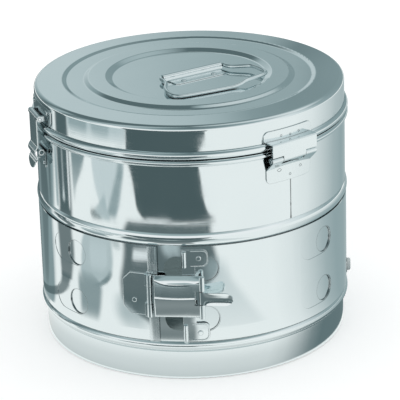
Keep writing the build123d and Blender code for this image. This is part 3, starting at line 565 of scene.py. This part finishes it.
def bead_skin(name, low, middle, high, steel, body):
    """The polished skin of a round bead, from its foot over its crest to its other foot."""
    (r1, z1), (r2, z2), (r3, z3) = low, middle, high
    a, b = r2 - r1, z2 - z1
    c, d = r3 - r1, z3 - z1
    e, f, g = (r2**2 - r1**2 + z2**2 - z1**2) / 2, (r3**2 - r1**2 + z3**2 - z1**2) / 2, a * d - b * c
    middle_r, middle_z = (e * d - b * f) / g, (a * f - e * c) / g
    radius = math.hypot(r1 - middle_r, z1 - middle_z)
    start, end = math.atan2(z1 - middle_z, r1 - middle_r), math.atan2(z3 - middle_z, r3 - middle_r)
    arc = [start + (end - start) * cut / BEAD_CUTS for cut in range(BEAD_CUTS + 1)]
    profile = [(radius / 1000 + BEAD_SKIN, turn) for turn in arc]
    profile += [(radius / 1000 - BEAD_SKIN, turn) for turn in reversed(arc)]
    form = bmesh.new()
    swept(form, [
        [on_wall(360 * cut / TURNED_CUTS, middle_r / 1000 + away * math.cos(turn),
                 middle_z / 1000 + away * math.sin(turn)) for away, turn in profile]
        for cut in range(TURNED_CUTS)
    ], closed=True)
    return scene_piece(name, form, steel, body)


shell_steel = steel_finish("shell_steel", SHELL_ROUGH, SHELL_WAVE, SHELL_CREASE_SHADE)
bead_steel = steel_finish("bead_steel", 0.06, 0.03, SHELL_CREASE_SHADE)
dress("body_shell", shell_steel)
bead_skin("lower_bead_polish", (139.6, 28.5), (141.8, 33.0), (139.6, 37.5), bead_steel, "drum")
bead_skin("middle_bead_polish", (139.6, 128.0), (141.6, 133.75), (140.0, 139.5), bead_steel, "drum")

# The lengthwise seam was welded, then ground flat. It stays a little duller than the sheet.
seam_steel = steel_finish("seam_steel", 0.3, 0.1, 0.001, tone=0.42)
seam_form = bmesh.new()
swept(seam_form, [
    [on_wall(SEAM_AZIMUTH + side * SEAM_HALF * width, WALL + away, height / 1000)
     for side, away in ((-1, 0.00008), (-1, 0.0002), (1, 0.0002), (1, 0.00008))]
    for height, width in ((139.6, 1.6), (141, 1.9), (143, 1.2), (151, 0.8), (153, 1.5), (155, 0.8), (176.4, 1))
], closed=False)
scene_piece("wall_seam", seam_form, seam_steel, "drum")

# ---- bottom ---------------------------------------------------------------------------------------
# A pressed disc, spot welded inside the foot. It keeps the dull mill finish, because it is out of sight.
dress("bottom_disc", steel_finish("bottom_steel", 0.14, 0.2, 0.004))

# ---- lid ------------------------------------------------------------------------------------------
# One pressed sheet with a raised ring and a recess for the handle, polished on the lathe like the body.
# Its edge is burnished, and a bead is rolled round the foot of its skirt.
LID_EDGE = (0.1351, 0.232144, 0.0046)  # middle and radius of the bend between the top and the skirt
LID_EDGE_END = 87

lid_steel = steel_finish("lid_steel", 0.05, 0.06, SHELL_CREASE_SHADE)
dress("lid_shell", lid_steel)
bead_skin("lid_bead_polish", (139.7, 206.6), (142.7, 210.3), (139.7, 214.0), bead_steel, "lid")
edge_r, edge_z, edge_bend = LID_EDGE
edge_turns = [math.radians(LID_EDGE_END * cut / BEAD_CUTS) for cut in range(BEAD_CUTS + 1)]
edge_profile = [(edge_bend + BEAD_SKIN, turn) for turn in edge_turns]
edge_profile += [(edge_bend - BEAD_SKIN, turn) for turn in reversed(edge_turns)]
edge_form = bmesh.new()
swept(edge_form, [
    [on_wall(360 * cut / TURNED_CUTS, edge_r + away * math.cos(turn), edge_z + away * math.sin(turn))
     for away, turn in edge_profile]
    for cut in range(TURNED_CUTS)
], closed=True)
scene_piece("lid_edge_polish", edge_form, bead_steel, "lid")

# ---- lid hinge ------------------------------------------------------------------------------------
# Two leaves of thicker plate, bent out over the beads and rolled round one wire pin. They are satin
# finished and spot welded, and each weld left a small ring.
HINGE_WELDS = (  # azimuth, distance and height of a weld, its half width and half height
    (33.4, 140.75, 218.4, 0.9, 0.9), (37.4, 140.75, 217.6, 0.9, 0.9), (41.4, 140.75, 218.4, 0.9, 0.9),
    (32.3, 141.05, 187.5, 2.0, 1.3), (41.9, 141.05, 186.5, 1.3, 1.1), (37.0, 141.05, 181.5, 1.1, 1.0),
)
RING_CUTS = 28


def wire_form(form, places, radius, closed, sides=10):
    """Add a round wire that follows a row of places."""
    count = len(places)
    rings = []
    up = Vector((0, 0, 1))
    for index, place in enumerate(places):
        before = places[index - 1] if index or closed else place
        after = places[(index + 1) % count] if index + 1 < count or closed else place
        forward = (after - before).normalized()
        if index == 0:
            up = forward.orthogonal().normalized()
        up = (up - forward * up.dot(forward)).normalized()
        side = forward.cross(up)
        size = radius[index] if isinstance(radius, (list, tuple)) else radius
        rings.append([
            place + (up * math.cos(turn) + side * math.sin(turn)) * size
            for turn in (2 * math.pi * cut / sides for cut in range(sides))
        ])
    swept(form, rings, closed)


def wall_ring(azimuth, radius, height, half_width, half_height, cuts):
    """A round or oval loop of places on a wall, in millimetres."""
    turns = [2 * math.pi * cut / cuts for cut in range(cuts)]
    return [
        on_wall(azimuth + math.degrees(half_width * math.cos(turn) / radius), radius / 1000,
                (height + half_height * math.sin(turn)) / 1000)
        for turn in turns
    ]


hinge_steel = steel_finish("hinge_steel", 0.1, 0.16, 0.0014, edge=0.0004, across=(8, 8, 1200))
hinge_pin_steel = steel_finish("hinge_pin_steel", 0.12, 0.1, 0.002, edge=0.0003, across=(900, 60, 60), tone=0.9)
weld_steel = steel_finish("weld_steel", 0.25, 0.2, 0.0008, tone=0.45)
dress("hinge_upper_leaf", hinge_steel)
dress("hinge_lower_leaf", hinge_steel)
dress("hinge_pin", hinge_pin_steel)
for names, body in (((0, 1, 2), "lid"), ((3, 4, 5), "drum")):
    weld_rings = bmesh.new()
    for index in names:
        azimuth, distance, height, half_width, half_height = HINGE_WELDS[index]
        ring = wall_ring(azimuth, distance, height, half_width, half_height, RING_CUTS)
        wire_form(weld_rings, ring, 0.00018, closed=True, sides=6)
    scene_piece("hinge_welds_" + body, weld_rings, weld_steel, body)

# ---- lid clasp ------------------------------------------------------------------------------------
# A riveted plate with two ears on the skirt carries a spring strap that snaps down over the rolled
# catch on the drum. The strap is one strip, curled round its pin, humped over the catch and flared out
# at its round end, where a finger lifts it.
STRAP_AZIMUTH = -71.5
STRAP_PIN = (144.2, 219.5)
STRAP_CURL = 2.7
STRAP_SHEET = 0.001
STRAP_HALF = 11.0
STRAP_RUN = (  # distance from the drum's axis and height, down the outer face
    (146.9, 219.5), (146.9, 206), (146.9, 196), (147.0, 193), (148.2, 191), (149.5, 188.6), (149.5, 186),
    (148.3, 183.6), (147.7, 182.2), (148.2, 180.8), (149.2, 178.8), (149.9, 176), (150.4, 171.2),
)
STRAP_CUTS = 8
STRAP_END = 181.0  # its round end starts here
STRAP_END_HIGH = 9.9
STRAP_WIDE = 16

clasp_steel = steel_finish("lid_clasp_steel", 0.1, 0.25, 0.002, edge=0.0004, across=(8, 8, 1200), tone=0.86)
strap_steel = steel_finish("strap_steel", 0.12, 0.35, 0.002, across=(700, 700, 8), tone=0.86)
clasp_wire_steel = steel_finish("clasp_pin_steel", 0.06, 0.1, 0.002, edge=0.0003, across=(900, 900, 60))
dress("lid_clasp_plate", clasp_steel)
dress("lid_clasp_pin", clasp_wire_steel)
dress("lid_clasp_rivets", clasp_wire_steel)
dress("lid_catch", clasp_steel)
dress("lid_catch_rivets", clasp_wire_steel)
dress("lid_clasp_strap", strap_steel)


def smooth_run(stops, cuts):
    """Round off a run of places with a smooth curve through them."""
    ends = [stops[0], *stops, stops[-1]]
    run = []
    for index in range(len(stops) - 1):
        four = ends[index:index + 4]
        run += [tuple(between(*values, cut / cuts) for values in zip(*four)) for cut in range(cuts)]
    return run + [tuple(stops[-1])]


def local_frame(azimuth):
    """The directions round the drum and out of it at an azimuth."""
    turn = math.radians(azimuth)
    return Vector((math.cos(turn), math.sin(turn), 0)), Vector((math.sin(turn), -math.cos(turn), 0))


def sheet_piece(name, rows, thickness, steel, body, sharp=40):
    """A formed sheet from rows of places on its outer face, thickened inward and closed."""
    form = bmesh.new()
    laid = [[form.verts.new(place) for place in row] for row in rows]
    for before, after in zip(laid, laid[1:]):
        for index in range(len(before) - 1):
            form.faces.new((before[index], before[index + 1], after[index + 1], after[index]))
    mesh = bpy.data.meshes.new(name)
    form.to_mesh(mesh)
    form.free()
    return thickened(name, mesh, thickness, steel, body, sharp)


def thickened(name, mesh, thickness, steel, body, sharp=40):
    """Give a sheet its thickness behind its faces, and make it a piece."""
    sheet = bpy.data.objects.new(name, mesh)
    bpy.context.scene.collection.objects.link(sheet)
    thick = sheet.modifiers.new("sheet", "SOLIDIFY")
    thick.thickness = thickness
    thick.offset = -1
    thick.use_even_offset = True
    mesh.polygons.foreach_set("use_smooth", [True] * len(mesh.polygons))
    bpy.context.view_layer.update()
    solid = bpy.data.meshes.new_from_object(sheet.evaluated_get(bpy.context.evaluated_depsgraph_get()))
    sheet.modifiers.clear()
    sheet.data = solid
    solid.set_sharp_from_angle(angle=math.radians(sharp))
    solid.materials.clear()
    solid.materials.append(steel)
    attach(sheet, body)
    return sheet


strap_along, strap_out = local_frame(STRAP_AZIMUTH)
strap_curl = [
    (STRAP_PIN[0] + STRAP_CURL * math.cos(math.radians(turn)), STRAP_PIN[1] + STRAP_CURL * math.sin(math.radians(turn)))
    for turn in range(270, 0, -9)
]
strap_rows = []
for distance, height in strap_curl + smooth_run(STRAP_RUN, STRAP_CUTS):
    below = max(0.0, STRAP_END - height) / STRAP_END_HIGH
    half = STRAP_HALF * math.sqrt(max(0.0004, 1 - below**2))
    strap_rows.append([
        (strap_out * distance + strap_along * half * (1 - 2 * step / STRAP_WIDE) + Vector((0, 0, height))) / 1000
        for step in range(STRAP_WIDE + 1)
    ])
strap = sheet_piece("clasp_strap", strap_rows, STRAP_SHEET, strap_steel, "strap")
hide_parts("lid_clasp_strap")

# ---- lid handle -----------------------------------------------------------------------------------
# A sheet clip, rolled round the wire and riveted to the recess's floor, holds a bail bent by hand from
# bright drawn wire. The bail's right half is joggled up, so that a finger gets under it.
CLIP_TURN = math.radians(32.3)
CLIP_MIDDLE = 3.0
CLIP_HEIGHT = 239.77  # the bail turns about this line
FLOOR_TOP = 236.5
WIRE = 1.75
ROLL = 2.7
CLIP_SHEET = 0.0008
BAIL_PATH = (  # along the clip, across it, and above the recess's floor, in millimetres
    (0, 0, 3.27), (26, 0, 3.27), (31.5, 0, 3.27), (33.4, -2, 3.3), (34.3, -8, 3.4), (37.0, -12.6, 3.6),
    (46.0, -19.5, 4.2), (49.3, -24, 4.6), (50.0, -32, 4.8), (50.0, -42, 4.65), (48.6, -47.4, 4.65),
    (43.5, -50.4, 4.65), (32, -53.2, 4.65), (22.5, -55.2, 4.65), (16, -56.3, 3.3), (9, -56.4, 2.2),
    (2, -55.6, 1.95), (-12, -54.2, 1.9), (-28, -52.2, 1.9), (-42, -49.8, 1.9), (-46.6, -47.6, 1.95),
    (-48.2, -43.5, 2.1), (-47.2, -34, 2.5), (-43.5, -25, 2.8), (-37.6, -16.6, 3.0), (-35.0, -10, 3.2),
    (-34.2, -4, 3.27), (-32.8, -1, 3.27), (-30.5, 0, 3.27), (-26, 0, 3.27), (-0.6, 0, 3.27),
)
BAIL_CUTS = 8
CLIP_HALF = 31.0
FLANGE_HALF = 27.0
FLANGE_REACH = 16.8
FLANGE_CORNER = 4.0
CLIP_WIDE = 24

clip_along = Vector((math.cos(CLIP_TURN), math.sin(CLIP_TURN), 0))
clip_across = Vector((-math.sin(CLIP_TURN), math.cos(CLIP_TURN), 0))


def on_clip(along, across, height):
    """A place by its distances along and across the handle's clip and its height, in millimetres."""
    return (clip_along * (along + CLIP_MIDDLE) + clip_across * across + Vector((0, 0, height))) / 1000


handle_steel = steel_finish("handle_clip_steel", 0.1, 0.2, 0.0012, across=(260, 260, 260))
bail_steel = steel_finish("bail_wire_steel", 0.07, 0.12, 0.0008, across=(300, 300, 300))
dress("handle_clip", handle_steel)
dress("handle_clip_rivets", bail_steel)
dress("bail_handle", bail_steel)
bail_form = bmesh.new()
bail_run = [on_clip(x, y, FLOOR_TOP + z) for x, y, z in smooth_run(BAIL_PATH, BAIL_CUTS)]
wire_form(bail_form, bail_run, WIRE / 1000, closed=False, sides=20)
bail = scene_piece("bail_wire", bail_form, bail_steel, "bail")
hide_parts("bail_handle")

clip_profile = [  # across the clip and up, over its outer face, from the flange's edge to the roll's end
    (-FLANGE_REACH + step * (FLANGE_REACH - 6.4) / 8, FLOOR_TOP + 0.9) for step in range(9)
] + [(-5.4, FLOOR_TOP + 0.98), (-4.4, FLOOR_TOP + 1.35), (-3.6, FLOOR_TOP + 2.1)]
clip_profile += [
    (ROLL * math.cos(math.radians(turn)), CLIP_HEIGHT + ROLL * math.sin(math.radians(turn)))
    for turn in range(190, -131, -8)
]
clip_rows = []
for across, height in clip_profile:
    reach = min(1.0, max(0.0, (across + 6.5) / 3.0)) if height < CLIP_HEIGHT + 1 else 1.0
    half = FLANGE_HALF + (CLIP_HALF - FLANGE_HALF) * reach * reach * (3 - 2 * reach)
    corner = max(0.0, FLANGE_CORNER - (across + FLANGE_REACH)) if height < FLOOR_TOP + 0.95 else 0.0
    half -= FLANGE_CORNER - math.sqrt(FLANGE_CORNER**2 - corner**2)
    clip_rows.append([
        on_clip(half * (2 * step / CLIP_WIDE - 1), across, height) for step in range(CLIP_WIDE + 1)
    ])
clip = sheet_piece("rolled_clip", clip_rows, CLIP_SHEET, handle_steel, "lid")
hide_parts("handle_clip")

# ---- vent band ------------------------------------------------------------------------------------
# A sheet that slides round the lower half, pierced in step with the wall. Each hole has a lip that its
# punch turned in as far as the wall, and the band's left end is folded back on itself as a hem.
VENT_R = 11.62
VENT_ROWS = (59.5, 106.5)
VENT_COUNT = 7
VENT_FIRST = 3.7
LIP = (0.30, 140.64, 139.7)  # thickness, and how far from the drum's axis it starts and ends
HEM = (-16.75, -13.25)
HEM_CUTS = 12
BAND_ENDS = (38.4, 127.1)

band_steel = steel_finish("band_steel", SHELL_ROUGH, 0.12, SHELL_CREASE_SHADE)
dress("vent_band", band_steel)
# The lips are sheared edges, duller than the polished sheet; their darker tone is also painted shade along the holes'
# edges.
lip_steel = steel_finish("vent_lip_steel", 0.22, 0.1, 0.0008, tone=0.62)
lip_sheet, lip_out, lip_in = LIP
lips = bmesh.new()
for count in range(VENT_COUNT):
    for row in VENT_ROWS:
        azimuth = VENT_FIRST + 360 * count / VENT_COUNT
        corners = ((VENT_R, lip_out), (VENT_R + lip_sheet, lip_out), (VENT_R + lip_sheet, lip_in), (VENT_R, lip_in))
        loops = [wall_ring(azimuth, seat, row, size, size, 3 * RING_CUTS) for size, seat in corners]
        swept(lips, list(zip(*loops)), closed=True)
scene_piece("vent_lips", lips, lip_steel, "band")

hem_steel = steel_finish("hem_steel", 0.2, 0.2, 0.0012, across=(900, 900, 8))
hem_form = bmesh.new()
hem_rings = []
for height in (BAND_ENDS[0], BAND_ENDS[0] + 0.6, BAND_ENDS[1] - 0.6, BAND_ENDS[1]):
    outer = []
    for cut in range(HEM_CUTS + 1):
        share = 2 * cut / HEM_CUTS - 1
        azimuth = (HEM[0] + HEM[1]) / 2 + share * (HEM[1] - HEM[0]) / 2
        outer.append(on_wall(azimuth, 0.14182 + 0.0004 * (1 - share**4), height / 1000))
    inner = [on_wall(HEM[1], 0.1416, height / 1000), on_wall(HEM[0], 0.1416, height / 1000)]
    hem_rings.append(outer + inner)
swept(hem_form, hem_rings, closed=False)
scene_piece("band_hem", hem_form, hem_steel, "band")

# ---- slide tab ------------------------------------------------------------------------------------
# A small folded tab, spot welded low on the band's right side. A finger pushes it to turn the band.
tab_steel = steel_finish("slide_tab_steel", 0.12, 0.2, 0.002, edge=0.0004, across=(8, 8, 900), tone=0.7)
dress("slide_tab", tab_steel)

# ---- band clasp, left leaf ------------------------------------------------------------------------
# A leaf with cut corners, riveted to the band's hem, with two knuckles rolled round the lever's pin.
# Its edge is turned up a little and polished bright.
LEAF_OUTLINE = (  # azimuth and height
    (-17.6, 101.4), (-20, 101.4), (-23.5, 101.2), (-24.6, 98.5), (-25.7, 96), (-26.3, 94), (-26.3, 82),
    (-26.3, 70), (-25.7, 68), (-24.6, 65.5), (-23.5, 62.9), (-20, 62.7), (-17.6, 62.7),
)
LEAF_SEAT = 0.14195
LEAF_RIM = 0.00035

leaf_steel = steel_finish("clasp_leaf_steel", 0.06, 0.3, 0.0014, edge=0.0005, across=(8, 8, 1200))
leaf_pin_steel = steel_finish("clasp_leaf_pin_steel", 0.05, 0.1, 0.002, edge=0.0003, across=(900, 900, 60))
dress("clasp_leaf", leaf_steel)
leaf_rim = bmesh.new()
leaf_places = [on_wall(azimuth, LEAF_SEAT, height / 1000) for azimuth, height in LEAF_OUTLINE]
wire_form(leaf_rim, leaf_places, LEAF_RIM, closed=False, sides=8)
scene_piece("clasp_leaf_rim", leaf_rim, leaf_pin_steel, "band")
dress("clasp_leaf_rivet", leaf_pin_steel)
dress("clasp_pin", leaf_pin_steel)

# ---- band clasp, strike ---------------------------------------------------------------------------
# The strike is riveted to the band's right end. Its two tabs have a rounded edge, turned up all round
# like the rim of a tray, and its left edge is rolled.
STRIKE_SEAT = 142.0
TAB_RIM = 0.42
STRIKE_TABS = ((40.0, 54.8), (110.0, 123.8))
TAB_LEFT = -1.5  # azimuth
TAB_RIGHT = 4.35
TAB_CORNER = 1.9  # degrees, and the same in height
CORNER_CUTS = 6

strike_steel = steel_finish("clasp_strike_steel", 0.06, 0.3, 0.0014, edge=0.0005, across=(8, 8, 1200))
dress("clasp_strike", strike_steel)
dress("clasp_strike_rivets", leaf_pin_steel)
tab_rims = bmesh.new()
for low, high in STRIKE_TABS:
    rise = math.radians(TAB_CORNER) * STRIKE_SEAT
    run = [(TAB_LEFT, high), (TAB_RIGHT - TAB_CORNER, high)]
    for cut in range(1, CORNER_CUTS + 1):
        turn = math.pi / 2 * cut / CORNER_CUTS
        run.append((TAB_RIGHT - TAB_CORNER * (1 - math.sin(turn)), high - rise * (1 - math.cos(turn))))
    for cut in range(CORNER_CUTS + 1):
        turn = math.pi / 2 * cut / CORNER_CUTS
        run.append((TAB_RIGHT - TAB_CORNER * (1 - math.cos(turn)), low + rise * (1 - math.sin(turn))))
    run.append((TAB_LEFT, low))
    places = [on_wall(azimuth, STRIKE_SEAT / 1000, height / 1000) for azimuth, height in run]
    wire_form(tab_rims, places, TAB_RIM / 1000, closed=False, sides=8)
scene_piece("strike_rims", tab_rims, leaf_pin_steel, "band")

# ---- band clasp, lever ----------------------------------------------------------------------------
# A pressed cover, crowned from side to side and rounded off along its top, with a step across its
# middle that stiffens it. It is folded round the lever's plate.
LEVER_AZIMUTH = -6.9
COVER_LEFT = -18.8
COVER_RIGHT = 21.4
COVER_LOW = 62.7
COVER_HIGH = 101.3
COVER_FACE = 147.3
COVER_TILT = 0.046  # the upper half leans back this much
COVER_EDGE = 143.75
COVER_SHEET = 0.00035
NOTCH = (16.9, 75.0, 89.0)  # the thumb piece swings here
STEP = (81.3, 0.55, 0.9)  # height of its middle, how proud the lower half stands, and its half width

cover_steel = steel_finish("lever_cover_steel", 0.07, 0.12, 0.0014, across=(8, 8, 1200))
lever_steel = steel_finish("lever_steel", 0.06, 0.2, 0.0014, edge=0.0004, across=(8, 8, 1200))
dress("clasp_lever", lever_steel)
dress("thumb_pin", leaf_pin_steel)
lever_along, lever_out = local_frame(LEVER_AZIMUTH)


def cover_reach(shift, height):
    """How far the cover stands out at a place on it."""
    share = (shift - 1) / 20
    face = COVER_FACE - 0.3 * share**2 - COVER_TILT * max(0.0, height - 82)
    turn_start = 92.2 + (6.6 if share < 0 else 4.0) * abs(share)**3
    if height > turn_start:
        rise = (height - turn_start) / (COVER_HIGH - turn_start)
        face += (COVER_EDGE - face) * rise**1.8
    step_share = min(1.0, max(0.0, 0.5 + (STEP[0] + 1.0 * share**2 - height) / (2 * STEP[2])))
    face += STEP[1] * step_share * step_share * (3 - 2 * step_share)
    if height < 81:
        fall = (81 - height) / 18.3
        face -= 1.6 * fall + 1.0 * fall**2
        if fall > 0.93:
            face -= 1.2 * ((fall - 0.93) / 0.07)**2
    if shift < COVER_LEFT + 1:
        drop = COVER_LEFT + 1 - shift
        face -= 1.6 * (1 - math.sqrt(max(0.0, 1 - drop**2)))
    return max(face, COVER_EDGE - 0.6)


shifts = sorted({COVER_LEFT, COVER_LEFT + 0.3, COVER_LEFT + 0.8, COVER_LEFT + 1.5, NOTCH[0], COVER_RIGHT}
                | {float(step) for step in range(-16, 21)})
heights = sorted({COVER_LOW, 63.1, 63.6, 64.1, COVER_HIGH, *NOTCH[1:]} | {64.5 + 0.5 * step for step in range(73)})
cover_form = bmesh.new()
cover_grid = {}
for shift in shifts:
    for height in heights:
        place = (lever_along * shift + lever_out * cover_reach(shift, height) + Vector((0, 0, height))) / 1000
        cover_grid[shift, height] = cover_form.verts.new(place)
for left, right in zip(shifts, shifts[1:]):
    for low, high in zip(heights, heights[1:]):
        if left >= NOTCH[0] and NOTCH[1] <= low < NOTCH[2]:
            continue
        corners = ((left, low), (right, low), (right, high), (left, high))
        cover_form.faces.new([cover_grid[corner] for corner in corners])
loose = [vert for vert in cover_form.verts if not vert.link_faces]
bmesh.ops.delete(cover_form, geom=loose, context="VERTS")
cover_mesh = bpy.data.meshes.new("lever_cover")
cover_form.to_mesh(cover_mesh)
cover_form.free()
thickened("lever_cover", cover_mesh, COVER_SHEET, cover_steel, "lever")

# ---- band clasp, thumb piece ----------------------------------------------------------------------
# A dished tongue with a raised rim, rolled round its own pin and pressed from the same sheet. A claw
# behind it hooks on the strike's lip.
THUMB_PIN = (23.2, 145.2)
THUMB_CURL = 2.4
THUMB_SHEET = 0.0006
THUMB_MIDDLE = 82.0
THUMB_HALF = 5.8
THUMB_TIP = 50.4
THUMB_ROUND = 7.5  # length of its round end
THUMB_BED = 147.62
THUMB_DISH = 1.1
THUMB_WIDE = 14
THUMB_STOPS = (23.2, 24.5, 26, 28, 31, 34, 37, 40, 42.5, 44, 45.5, 46.7, 47.7, 48.5, 49.2, 49.7, 50.1, 50.35)
CLAW = (18.8, 23.2, 142.8)

thumb_steel = steel_finish("thumb_steel", 0.06, 0.2, 0.0014, across=(8, 8, 1200))
thumb_rows = []
for turn in range(-90, 90, 15):
    place = lever_along * (THUMB_PIN[0] - THUMB_CURL * math.cos(math.radians(turn)))
    place += lever_out * (THUMB_PIN[1] + THUMB_CURL * math.sin(math.radians(turn)))
    thumb_rows.append([
        (place + Vector((0, 0, THUMB_MIDDLE + THUMB_HALF * (1 - 2 * step / THUMB_WIDE)))) / 1000
        for step in range(THUMB_WIDE + 1)
    ])
for stop in THUMB_STOPS:
    end = max(0.0, stop - THUMB_TIP + THUMB_ROUND) / THUMB_ROUND
    half = THUMB_HALF * math.sqrt(1 - end**2)
    dished = min(1.0, (stop - THUMB_PIN[0]) / 6)
    row = []
    for step in range(THUMB_WIDE + 1):
        side = 1 - 2 * step / THUMB_WIDE
        reach = THUMB_BED + THUMB_DISH * dished * min(1.0, side**2 * (1 - end**2) + end**4)
        row.append((lever_along * stop + lever_out * reach + Vector((0, 0, THUMB_MIDDLE + half * side))) / 1000)
    thumb_rows.append(row)
tongue = sheet_piece("thumb_tongue", thumb_rows, THUMB_SHEET, thumb_steel, "thumb")
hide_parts("clasp_thumb")
dress("clasp_thumb", thumb_steel)
claw_left, claw_right, claw_face = CLAW
claw_rows = [
    [(lever_along * shift + lever_out * (claw_face + 1) + Vector((0, 0, THUMB_MIDDLE + side))) / 1000
     for side in (THUMB_HALF, 0, -THUMB_HALF)]
    for shift in (claw_left, (claw_left + claw_right) / 2, claw_right)
]
sheet_piece("thumb_claw", claw_rows, 0.001, thumb_steel, "thumb")
